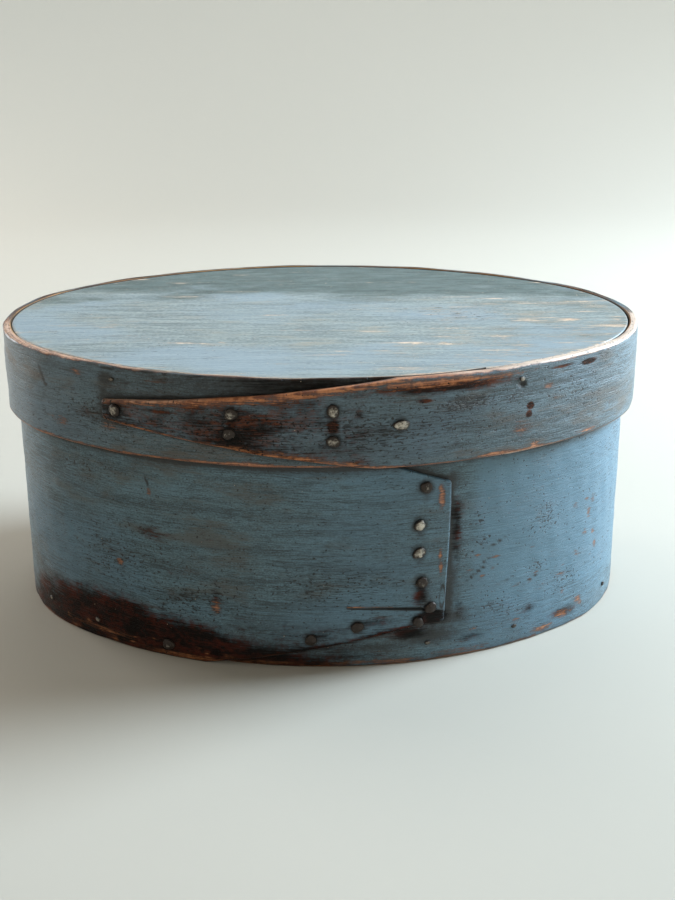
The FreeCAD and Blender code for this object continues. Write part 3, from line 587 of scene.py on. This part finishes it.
class Look:
    """A node material on one Principled surface."""

    def __init__(self, name):
        self.material = bpy.data.materials.new(name)
        self.material.use_nodes = True
        self.tree = self.material.node_tree
        self.surface = self.tree.nodes["Principled BSDF"]

    def node(self, kind, settings=None, **inputs):
        made = self.tree.nodes.new(kind)
        for key, value in (settings or {}).items():
            setattr(made, key, value)
        for key, value in inputs.items():
            self.feed(made.inputs[key.replace("_", " ")], value)
        return made

    def feed(self, socket, value):
        if hasattr(value, "node"):
            self.tree.links.new(value, socket)
        else:
            socket.default_value = value

    def math(self, operation, first, second=0.0):
        made = self.node("ShaderNodeMath", {"operation": operation})
        self.feed(made.inputs[0], first)
        self.feed(made.inputs[1], second)
        return made.outputs[0]

    def sum(self, base, *terms):
        """base plus each noise, taken about its middle, times its weight."""
        for value, weight in terms:
            base = self.math("ADD", self.math("MULTIPLY", self.math("SUBTRACT", value, 0.5), weight), base)
        return base

    def mask(self, name):
        return self.node("ShaderNodeAttribute", {"attribute_name": name}).outputs["Fac"]

    def stretched(self, source, scale):
        made = self.node("ShaderNodeMapping")
        self.feed(made.inputs["Vector"], source)
        made.inputs["Scale"].default_value = scale
        return made.outputs["Vector"]

    def plan(self, u, v):
        """The unrolled face."""
        return self.stretched(self.node("ShaderNodeUVMap", {"uv_map": "plan"}).outputs["UV"], (u, v, 1))

    def solid(self, x, y, z):
        return self.stretched(self.node("ShaderNodeTexCoord").outputs["Object"], (x, y, z))

    def noise(self, vector, detail=3.0, rough=0.5, distortion=0.0):
        return self.node("ShaderNodeTexNoise", Vector=vector, Scale=1.0, Detail=detail,
                         Roughness=rough, Distortion=distortion).outputs["Fac"]

    def step(self, value, low, high, top=1.0):
        made = self.node("ShaderNodeMapRange", {"interpolation_type": "SMOOTHSTEP"})
        for socket, item in zip(made.inputs, (value, low, high, 0.0, top)):
            self.feed(socket, item)
        return made.outputs["Result"]

    def mix(self, share, first, second):
        made = self.node("ShaderNodeMix", {"data_type": "RGBA"})
        inputs = [s for s in made.inputs if s.enabled]
        for socket, item in zip(inputs, (share, first, second)):
            self.feed(socket, srgb(*item) if isinstance(item, tuple) else item)
        return [s for s in made.outputs if s.enabled][0]

    def finish(self, colour, roughness, height, distance, strength, specular):
        bump = self.node("ShaderNodeBump", Height=height, Distance=distance, Strength=strength)
        self.feed(self.surface.inputs["Base Color"], colour)
        self.feed(self.surface.inputs["Roughness"], roughness)
        self.feed(self.surface.inputs["Normal"], bump.outputs["Normal"])
        self.feed(self.surface.inputs["Specular IOR Level"], specular)
        return self.material


WAX_ROUGHNESS = 0.36


def painted(name, tone, level):
    """Old milk paint on wood. Masks say where it is bare, brown, dark or flecked, where the wood is lighter,
    partly by a painted highlight, and where the paint is bluer by painted window light.
    """
    look = Look(name)
    fibre = look.noise(look.plan(60 * level["u"], 1350 * level["v"]), 4, 0.64)
    fine = look.noise(look.plan(240 * level["u"], 2600 * level["v"]), 2, 0.6)
    patch = look.noise(look.plan(30, 75), 4, 0.62)
    cloud = look.noise(look.plan(9, 15), 2, 0.5)
    grit = look.noise(look.plan(420, 520), 3, 0.6)
    dash = look.noise(look.plan(190 * level["u"], 1900 * level["v"]), 3, 0.6)
    fleck = look.mask("fleck")
    dust = look.noise(look.plan(1100 * level["u"], 1900 * level["v"]), 1, 0.5)
    band = look.noise(look.plan(14, 160), 3, 0.6)
    both = look.sum(0.5, (fibre, 0.7), (fine, 0.5), (dust, 0.45), (band, 0.5))
    colour = look.mix(look.step(both, 0.34, 0.66), tone["deep"], tone["light"])
    cloudy = look.step(look.sum(cloud, (fibre, 0.5)), 0.42, 0.66, level["cloud"])
    colour = look.mix(cloudy, colour, tone["other"])
    thin = look.step(look.sum(patch, (fibre, 0.7), (cloud, -0.5), (band, 0.4)), 0.52, 0.74, level["thin"])
    colour = look.mix(thin, colour, tone["thin"])
    # Painted window light: bluer paint where its mask says.
    fresh = look.sum(look.mask("fresh"), (fibre, 0.7), (patch, 0.9), (band, 0.4))
    colour = look.mix(look.step(fresh, 0.25, 1.0, 0.75), colour, tone["fresh"])
    # Brown stain, with a red and a black side.
    stain = look.sum(look.mask("brown"), (patch, 0.9), (fibre, 0.6), (grit, 0.25))
    stain = look.step(stain, 0.26, 0.66)
    mottle = look.sum(0.5, (look.noise(look.plan(75, 190), 3, 0.6), 1.0), (grit, 0.6), (fibre, 0.4))
    mottle = look.step(mottle, 0.4, 0.68)
    colour = look.mix(stain, colour, look.mix(mottle, tone["brown_deep"], tone["brown"]))
    # Bare wood where the paint has rubbed off, inside a brown margin.
    rubbed = look.sum(look.mask("bare"), (fibre, 1.1), (fine, 0.7), (patch, 0.7), (grit, 0.5))
    streak = look.sum(look.noise(look.plan(34 * level["u"], 420 * level["v"]), 3, 0.6), (patch, 0.3))
    rubbed = look.math("ADD", rubbed, look.step(streak, 0.58, 0.72, level["streak"]))
    colour = look.mix(look.step(rubbed, 0.24, 0.52, 0.85), colour, tone["margin"])
    grain = look.step(look.sum(0.5, (fibre, 1.0), (grit, 0.5)), 0.36, 0.64)
    wood = look.mix(grain, tone["wood_deep"], tone["wood"])
    # Lighter wood where the pale mask says: partly worn wood, partly a painted highlight.
    pale_wood_and_glint = look.step(look.sum(look.mask("pale"), (fibre, 1.2), (patch, 0.6)), 0.2, 1.0, 0.9)
    wood = look.mix(pale_wood_and_glint, wood, tone["pale"])
    worn = look.step(rubbed, 0.42, 0.8)
    colour = look.mix(worn, colour, wood)
    # Soot, grime and the painted shade and shadow that the dark mask holds, in the grain first.
    soot_and_shade = look.sum(look.mask("dark"), (patch, 0.7), (fibre, 0.7), (grit, 0.5))
    colour = look.mix(look.step(soot_and_shade, 0.12, 0.95, 0.95), colour, tone["soot_and_shade"])
    cut = look.sum(dash, (cloud, 0.22), (patch, 0.2))
    cut = look.math("ADD", cut, look.math("MULTIPLY", fleck, 0.1))
    scar = look.step(cut, level["dash"], level["dash"] + 0.07, 0.85)
    colour = look.mix(scar, colour, tone["soot_and_shade"])
    pit = look.sum(look.noise(look.plan(620, 760), 1, 0.5), (patch, 0.15))
    pit = look.math("ADD", pit, look.math("MULTIPLY", fleck, 0.12))
    pit = look.step(pit, level["pit"], level["pit"] + 0.04, 0.9)
    colour = look.mix(pit, colour, tone["soot_and_shade"])
    # Small light specks: partly flaked paint showing wood, partly painted glints.
    chip_and_glint = look.sum(look.noise(look.plan(700, 820), 1, 0.5), (patch, 0.3))
    colour = look.mix(look.step(chip_and_glint, level["chip_and_glint"], level["chip_and_glint"] + 0.04, 0.8), colour, tone["chip_and_glint"])
    height = look.sum(0.5, (fibre, 0.7), (fine, 0.4), (patch, 0.5), (scar, -0.6), (pit, -0.8), (worn, -0.25))
    rough = look.sum(level["rough"], (fibre, 0.25), (grit, 0.2), (stain, -0.14), (worn, -0.1), (scar, 0.2))
    dull = look.math("SUBTRACT", 1.0, stain)
    if level["wax"]:
        look.feed(look.surface.inputs["Coat Weight"], look.math("MULTIPLY", dull, level["wax"]))
        look.surface.inputs["Coat Roughness"].default_value = WAX_ROUGHNESS
    specular = look.math("MULTIPLY", look.math("ADD", dull, 0.25), level["specular"])
    return look.finish(colour, rough, height, 0.0007, 0.75, specular)


def old_wood(name, deep, light, along, across):
    look = Look(name)
    grain = look.noise(look.solid(*along), 4, 0.6, 0.4)
    pores = look.noise(look.solid(*across), 3, 0.6)
    blotch = look.noise(look.solid(18, 18, 18), 3, 0.5)
    colour = look.mix(look.step(grain, 0.35, 0.65), deep, light)
    colour = look.mix(look.step(blotch, 0.4, 0.75, 0.5), colour, tuple(v * 0.6 for v in deep))
    colour = look.mix(look.step(pores, 0.6, 0.72, 0.7), colour, tuple(v * 0.45 for v in deep))
    # The dark mask here is grime and painted shade: inside the box towards the base, in the gap round the
    # lid's board and under the board.
    dirt_and_shade = look.step(look.sum(look.mask("dark"), (blotch, 0.4)), 0.2, 0.9, 0.9)
    colour = look.mix(dirt_and_shade, colour, (16, 12, 9))
    height = look.sum(0.5, (grain, 1.0), (pores, -0.8))
    return look.finish(colour, look.sum(0.65, (grain, 0.25)), height, 0.0004, 0.6, 0.3)


def forged_iron(name, light, deep):
    """The mask dark is higher round a head's rim, and higher on rusty heads."""
    look = Look(name)
    coarse = look.noise(look.solid(700, 700, 700), 3, 0.6)
    fine = look.noise(look.solid(2600, 2600, 2600), 2, 0.6)
    worn = look.sum(look.math("SUBTRACT", 0.62, look.mask("dark")), (coarse, 0.9), (fine, 0.3))
    colour = look.mix(look.step(worn, 0.05, 0.6), deep, light)
    colour = look.mix(look.step(fine, 0.6, 0.72, 0.7), colour, tuple(v * 0.4 for v in deep))
    height = look.sum(0.5, (coarse, 1.0), (fine, 0.4))
    look.surface.inputs["Metallic"].default_value = 0.4
    return look.finish(colour, look.sum(0.45, (fine, 0.3), (coarse, 0.2)), height, 0.00035, 0.9, 0.5)


# Tones in sRGB levels. The three painted faces share those in WEAR.
# Of these, the bluer window tint is painted light, the lighter rim wood and the small light specks are
# partly painted highlights, and the darkest tone serves grime and painted shade alike.
WEAR = dict(wood=(190, 124, 80), wood_deep=(122, 70, 44), margin=(84, 50, 34), brown=(92, 50, 32),
            brown_deep=(36, 21, 15), soot_and_shade=(18, 18, 16), chip_and_glint=(196, 176, 152), pale=(212, 190, 172),
            fresh=(88, 123, 141))
PAINT = dict(u=1, v=1, cloud=0.6, chip_and_glint=0.8, rough=0.5, specular=0.45, wax=0.3)
box_paint = painted(
    "box_paint",
    dict(WEAR, deep=(43, 60, 66), light=(90, 120, 132), other=(84, 118, 138), thin=(72, 70, 63),
         brown=(78, 30, 17), brown_deep=(18, 9, 7)),
    dict(PAINT, thin=0.75, dash=0.63, pit=0.69, streak=0.1))
lid_paint = painted(
    "lid_paint",
    dict(WEAR, deep=(46, 58, 61), light=(92, 114, 124), other=(86, 110, 126), thin=(76, 68, 58),
         wood=(192, 126, 84), wood_deep=(112, 60, 36)),
    dict(PAINT, thin=0.85, dash=0.615, pit=0.68, streak=0.15))
board_paint = painted(
    "board_paint",
    dict(WEAR, deep=(104, 115, 115), light=(147, 156, 153), other=(135, 150, 158), thin=(140, 140, 130),
         wood=(226, 200, 176), wood_deep=(196, 154, 126), margin=(158, 146, 132), brown=(98, 112, 110),
         brown_deep=(82, 94, 92)),
    dict(PAINT, u=0.5, v=0.4, cloud=0.75, thin=0.85, dash=0.69, pit=0.76, chip_and_glint=0.73, streak=0.38,
         rough=0.46, wax=0.0))
inside_wood = old_wood("inside_wood", (118, 82, 50), (176, 134, 88), (14, 14, 420), (120, 120, 2400))
board_wood = old_wood("board_wood", (112, 80, 50), (164, 126, 84), (12, 420, 12), (100, 2400, 100))
iron = forged_iron("forged_iron", (206, 196, 180), (50, 40, 33))
nail_iron = forged_iron("nail_iron", (150, 140, 126), (40, 32, 27))


# The two bent strips.

box_look = dict(seed=11, wander=0.3, low_wander=0.0, end_round=1.3, rim_round=0.9, inner_round=0.6,
                uneven=0.35, wear=box_wear, rows=split_rows,
                lean=lambda z: np.interp(z, (18, 27, 60, 75, 90), (2.0, 1.9, 0.5, 0.0, 0.3)))
lid_look = dict(seed=23, wander=0.4, low_wander=0.3, end_round=1.0, rim_round=1.3, inner_round=0.7,
                uneven=0.35, wear=lid_wear, rows=even_rows,
                lean=lambda z: np.interp(z, (111, 116, 121), (0.5, 0.1, 0.0)))
dress(bend_strip("box_band", box_strip, box_look, 96, [box_paint, inside_wood]),
      "box", "box_side_band")
dress(bend_strip("lid_band", lid_strip, lid_look, 52, [lid_paint, inside_wood]),
      "lid", "lid_side_band")


# The lid's top board, let in flush, with a gap that opens at the right end and the front left.

BOARD_RIM = ((2.2, 0.0), (0.8, 0.0), (0.45, 0.1), (0.2, 0.28), (0.06, 0.55), (0.0, 0.9))  # drop, inset


def lid_gap(turns):
    x = np.mod(turns * lid_oval.hand + math.pi, TURN) - math.pi
    gap = 0.14 + 0.05 * np.sin(3 * turns + 1)
    gap = gap + 0.55 * np.exp(-((x - 1.1) / 0.52)**4)
    return gap + 0.5 * np.exp(-((x + 1.0) / 0.36)**4)


def board_wear(x, y, number):
    """Masks of the top board. The number counts its rings from the underside to the middle."""
    rim = np.clip(1.1 - np.maximum(number - 5, 0) / 4, 0, 1)
    bare = spots(x, y, [
        (-24.8, -2.3, 9, 1, 0.5), (-11.3, -31.9, 12, 1.2, 0.46), (-62.5, -53.9, 9, 1.2, 0.56),
        (-44.2, -52.7, 4, 1.2, 0.55), (118.8, -14.2, 8, 3, 0.56), (128, -12, 10, 1.2, 0.42),
        (41.8, -56.7, 8, 1.2, 0.5), (55.2, -57, 4, 2, 0.55), (82.2, -48.9, 5, 1.2, 0.45),
        (66.9, 33.9, 22, 1, 0.42), (89.1, 31, 7, 1.2, 0.42), (97.8, -13.6, 6, 2.2, 0.4),
        (129.9, 1.8, 8, 1.2, 0.42), (141, -14.8, 3, 3, 0.5), (-101.4, -23.8, 7, 3, 0.34),
        (-84, 57, 1.6, 1.2, 0.5), (78, -88, 18, 2.6, 0.4), (35, -97, 18, 4, 0.36),
        (-90, -40, 14, 1, 0.34), (10, -75, 26, 1, 0.34), (60, -30, 20, 1, 0.34),
        (-118, -20, 12, 3, 0.3), (30, 70, 24, 1, 0.3), (-80, 62, 18, 1, 0.3)])
    grey = np.clip((y + 2 + 10 * waves(x * 0.4, y, 73, 40)) / 60, 0, 1)
    # The board's side, seen only through the gap, and its underside are painted dark: painted shade.
    dark = np.where(number < 3, 1.2, 0.12 * rim)
    bare = np.maximum(bare, 0.25 * np.clip((x + 10) / 90, 0, 1) * np.clip((60 - y) / 50, 0, 1))
    shade = np.maximum(0.66 * grey, 0.36 * np.clip((x - 10) / 80, 0, 1))
    return dict(bare=np.maximum(bare, np.where(y < -60, 0.5, 0.3) * rim), brown=shade, dark=dark,
                fleck=spots(x, y, [(80, 0, 60, 40, 0.4), (-60, -60, 50, 20, 0.3)]))


def oval_board(name, oval, gap, low, high, wear, materials):
    turns = np.linspace(0, TURN, 480, endpoint=False)
    gaps = gap(turns)
    rings = [(*oval.point(turns, -gaps), low)]
    for drop, inset in BOARD_RIM:
        rings.append((*oval.point(turns, -gaps - inset), high - drop))
    edge_x, edge_y = oval.point(turns, -gaps - BOARD_RIM[-1][1])
    for share in np.concatenate([[0.99], np.linspace(0.975, 0.02, 46)]):
        rings.append((edge_x * share, edge_y * share, high))
    points = []
    for number, (x, y, z) in enumerate(rings):
        dish = 0.12 * wander(x / 3, y, 71, 9) + 0.1 * wander(x / 2, y, 72, 30)
        points.append(np.stack([x, y, z - dish * (number > len(BOARD_RIM))], -1))
    points = np.array(points)
    count, around = points.shape[:2]
    index = np.arange(count * around).reshape(count, around)
    nxt = np.roll(index, -1, 1)
    quads = np.stack([index[:-1], nxt[:-1], nxt[1:], index[1:]], -1).reshape(-1, 4)
    cap, bottom = index[-1], index[0][::-1]
    if oval.hand < 0:
        quads, cap, bottom = quads[:, ::-1], cap[::-1], bottom[::-1]
    faces = quads.tolist() + [cap.tolist(), bottom.tolist()]
    flat = points.reshape(-1, 3)
    masks = wear(flat[:, 0], flat[:, 1], np.repeat(np.arange(count), around))
    material = [0] * (len(faces) - 1) + [1]
    return make_object(name, flat, faces, masks, flat[:, :2] + flat[:, 2:] * 0.4, materials, material)


dress(oval_board("lid_top", lid_oval, lid_gap, 123.5, 134.5, board_wear, [board_paint, board_wood]),
      "lid", "lid_board")
# The base board keeps its CAD shape.
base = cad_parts["base_board"]
base.data.materials.clear()
base.data.materials.append(board_wood)


# Forged tacks and nails.

def head_rings(wide, tall, rise, number, around=24):
    """A hammered head: an uneven dome with a few flats on it."""
    draw = np.random.default_rng(900 + number)
    angles = np.linspace(0, TURN, around, endpoint=False)
    outline = 1 + sum(size * np.sin(n * angles + draw.uniform(0, TURN))
                      for n, size in ((2, 0.06), (3, 0.05), (5, 0.035)))
    flats = [(draw.uniform(0, TURN), draw.uniform(0.35, 0.8), draw.uniform(0.7, 0.95)) for _ in range(7)]
    points, edge = [], []
    for share, level in ((0.98, -0.25), (1.03, 0.04), (1.02, 0.22), (0.94, 0.52), (0.8, 0.76),
                         (0.62, 0.9), (0.4, 0.98), (0.18, 1.0)):
        x, y = share * outline * np.cos(angles), share * outline * np.sin(angles)
        z = np.full_like(x, level)
        for turn, tilt, limit in flats:
            z = np.minimum(z, limit + 0.1 - tilt * (x * math.cos(turn) + y * math.sin(turn) - 0.3))
        z = np.maximum(z, np.minimum(level, 0.1))
        points.append(np.stack([x * wide, y * tall, z * rise], -1))
        edge.append(np.full(around, np.clip((share - 0.7) * 1.6, 0, 0.5)) + 0.15 * (z < level - 0.12))
    return np.array(points), np.concatenate(edge)


def fastener(strip, direction, skin, height, wide, tall, rise, turn, number, depth, clinch, age):
    """Points, faces and mask of one tack or nail, standing on the band's face."""
    x, y = strip.oval.point(np.array([direction]), np.array([skin]))
    normal = np.array([strip.oval.hand * math.sin(direction), -math.cos(direction), 0.0])
    up = np.array([0, 0, 1.0])
    level = np.cross(up, normal)
    rings, edge = head_rings(wide, tall, rise, number)
    count, around = rings.shape[:2]
    c, s = math.cos(turn), math.sin(turn)
    flat = rings.reshape(-1, 3)
    local = np.stack([flat[:, 0] * c - flat[:, 1] * s, flat[:, 0] * s + flat[:, 1] * c, flat[:, 2]], -1)
    index = np.arange(count * around).reshape(count, around)
    nxt = np.roll(index, -1, 1)
    faces = np.stack([index[:-1], nxt[:-1], nxt[1:], index[1:]], -1).reshape(-1, 4).tolist()
    faces += [index[-1].tolist(), index[0].tolist()[::-1]]
    mask = edge + age
    half = 0.8 if clinch else 0.65
    # The shank, and the clinched point: x from and to, half height, z from and to, taper.
    blocks = [(-half, half, half, -depth, 0.0, 1.0)]
    if clinch:
        blocks.append((-0.75, 3.6, 0.65, -depth - 0.02, -depth + 0.5, 0.45))
    for x0, x1, y1, z0, z1, taper in blocks:
        start = len(local)
        local = np.concatenate([local, [(px, py, pz) for pz in (z0, z1) for px, py in (
            (x0, -y1), (x1, -y1 * taper), (x1, y1 * taper), (x0, y1))]])
        mask = np.concatenate([mask, np.full(8, SHANK_AGE)])
        faces += [[start + v for v in quad] for quad in (
            (3, 2, 1, 0), (4, 5, 6, 7), (0, 1, 5, 4), (1, 2, 6, 5), (2, 3, 7, 6), (3, 0, 4, 7))]
    origin = np.array([x[0], y[0], height])
    return origin + local[:, :1] * level + local[:, 1:2] * up + local[:, 2:] * normal, faces, mask


def make_fasteners(name, items, body, node, material):
    points, faces, masks = [], [], []
    for item in items:
        placed, quads, mask = fastener(*item)
        start = sum(len(p) for p in points)
        points.append(placed)
        masks.append(mask)
        faces += [[start + v for v in quad] for quad in quads]
    points = np.concatenate(points)
    piece = make_object(name, points, faces, {"dark": np.concatenate(masks)}, points[:, [0, 2]], [material])
    dress(piece, body, node)


RADIUS, RISE, LIFT, SHANK_AGE = 2.55, 1.3, 0.06, 0.8
NAIL_WIDE, NAIL_TALL, NAIL_RISE, BITE = 1.4, 1.0, 0.5, 9.0
HEADS = {  # width, height, turn, age
    "lap": [(1.05, 0.95, 10, 0.45), (0.95, 0.9, 40, 0.1), (1.15, 0.9, 25, 0.18), (0.95, 1.0, 0, 0.5),
            (1.1, 0.9, 15, 0.62), (0.9, 0.95, 60, 0.6)],
    "foot": [(1.05, 0.95, 20, 0.62), (1.0, 0.95, 70, 0.66)],
    "base": [(1.1, 0.95, 15, 0.5)],
    "finger": [(1.0, 1.0, 0, 0.35), (1.05, 1.0, 30, 0.4), (1.1, 0.85, 10, 0.45), (0.95, 1.2, 0, 0.3),
               (1.15, 0.9, 0, 0.35), (1.3, 0.85, 5, 0.15)]}


def tacks(group, strip, places, body, seed, bite=None):
    for number, ((place, height), (wide, tall, turn, age)) in enumerate(zip(places, HEADS[group]), 1):
        direction, skin = strip.skin(place, height)
        depth = skin + LIFT + (bite if bite else -0.1)
        node = f"{group}_tack" if bite else f"{group}_tack_{number}"
        item = (strip, direction, skin + LIFT, height, RADIUS * wide, RADIUS * tall, RISE,
                math.radians(turn), seed + number, depth, not bite, age)
        make_fasteners(node.replace("tack", "head"), [item], body, node, iron)


tacks("lap", box_strip, LAP_TACKS[:6], "box", 0)
tacks("foot", box_strip, LAP_TACKS[6:], "box", 20)
tacks("base", box_strip, [BASE_TACK], "box", 30, bite=BITE)
tacks("finger", lid_strip, FINGER_TACKS, "lid", 40)


def nails(name, strip, degrees, height, body, node):
    items = []
    for number, angle in enumerate(degrees):
        x, y = math.cos(math.radians(angle)), math.sin(math.radians(angle))
        direction = math.atan2(strip.oval.hand * x, -y)
        skin = strip.thickness
        if abs(direction) < strip.oval.joint:
            skin = strip.skin(strip.outer_radius * math.sin(direction), height)[1]
        items.append((strip, direction, skin + LIFT, height, NAIL_WIDE, NAIL_TALL, NAIL_RISE, 0.0,
                      60 + number, skin + BITE, False, 0.3 + 0.2 * math.sin(5 * number)))
    make_fasteners(name, items, body, node, nail_iron)


nails("base_nail_heads", box_strip, (-75, -125.5, -143, -61, -29, 12, 50, 90, 130, 170), 9.0,
      "box", "base_nails")
nails("lid_nail_heads", lid_strip, (-119.6, -62.2, 14, 52, 90, 128, 166), 129.0, "lid", "lid_nails")


# Stage, light and camera.

def paper():
    look = Look("paper")
    cloud = look.noise(look.solid(1.3, 1.3, 1.3), 2)
    grain = look.noise(look.solid(160, 160, 160), 2)
    colour = look.mix(cloud, (182, 175, 163), (177, 170, 158))
    return look.finish(colour, look.sum(0.9, (grain, 0.1)), grain, 0.0002, 0.2, 0.2)


def surround():
    """A pale floor that curves up into a wall all round."""
    flat, bend, top, drop, around = 1.1, 0.8, 2.6, 0.0001, 72
    profile = [(0.02, 0.0), (0.6, 0.0)]
    profile += [(flat + bend * math.sin(a), bend - bend * math.cos(a))
                for a in np.linspace(0, math.pi / 2, 14)]
    profile.append((flat + bend, top))
    points = [(r * math.cos(TURN * k / around), r * math.sin(TURN * k / around), z - drop)
              for r, z in profile for k in range(around)]
    faces = [(i * around + k, i * around + (k + 1) % around, (i + 1) * around + (k + 1) % around,
              (i + 1) * around + k) for i in range(len(profile) - 1) for k in range(around)]
    faces.append(tuple(range(around)))
    mesh = bpy.data.meshes.new("surround")
    mesh.from_pydata(points, [], [face[::-1] if len(face) == 4 else face for face in faces])
    mesh.materials.append(paper())
    mesh.polygons.foreach_set("use_smooth", [True] * len(mesh.polygons))
    piece = bpy.data.objects.new("surround", mesh)
    bpy.context.scene.collection.objects.link(piece)


def area_light(name, position, target, size, power, colour=(1, 1, 1)):
    data = bpy.data.lights.new(name, "AREA")
    data.shape, data.size, data.energy, data.color = "DISK", size, power, colour
    lamp = bpy.data.objects.new(name, data)
    lamp.location = position
    lamp.rotation_euler = (Vector(target) - Vector(position)).to_track_quat("-Z", "Y").to_euler()
    bpy.context.scene.collection.objects.link(lamp)


surround()
area_light("window", (1.4, 0.42, 0.8), (0, 0, 0.06), 0.8, 86, (0.68, 0.85, 1.0))
area_light("sky", (0.1, 0.9, 1.7), (0, 0, 0.1), 1.2, 8)
area_light("left_wall", (-1.2, 0.9, 0.45), (0, 0, 0.06), 0.8, 15)
area_light("room", (-0.7, -1.4, 1.1), (0, 0, 0.05), 1.2, 1.9, (1.0, 0.92, 0.84))
world = bpy.data.worlds.new("room")
world.use_nodes = True
world.node_tree.nodes["Background"].inputs["Color"].default_value = (0.86, 0.85, 0.82, 1)
world.node_tree.nodes["Background"].inputs["Strength"].default_value = 0.24
bpy.context.scene.world = world
bpy.context.scene.view_settings.view_transform = "Standard"

# The camera that the photo's outlines were fitted to, in radians, pixels and millimetres.
PITCH, YAW, ROLL, FOCAL_PX, FRAME_PX = 0.33878, 0.01331, -0.00327, 1352.0, 900.0
CAMERA_AT = (-0.799, -642.252, 290.415)
forward = Vector((math.sin(YAW) * math.cos(PITCH), math.cos(YAW) * math.cos(PITCH), -math.sin(PITCH)))
level = Vector((math.cos(YAW), -math.sin(YAW), 0))
right = level * math.cos(ROLL) + level.cross(forward) * math.sin(ROLL)
camera_data = bpy.data.cameras.new("camera")
camera_data.sensor_fit = "VERTICAL"
camera_data.sensor_height = 36.0
camera_data.lens = FOCAL_PX * camera_data.sensor_height / FRAME_PX
camera = bpy.data.objects.new("camera", camera_data)
camera.matrix_world = Matrix.Translation(Vector(CAMERA_AT) * MM) @ Matrix(
    (right, right.cross(forward), -forward)).transposed().to_4x4()
bpy.context.scene.collection.objects.link(camera)
bpy.context.scene.camera = camera
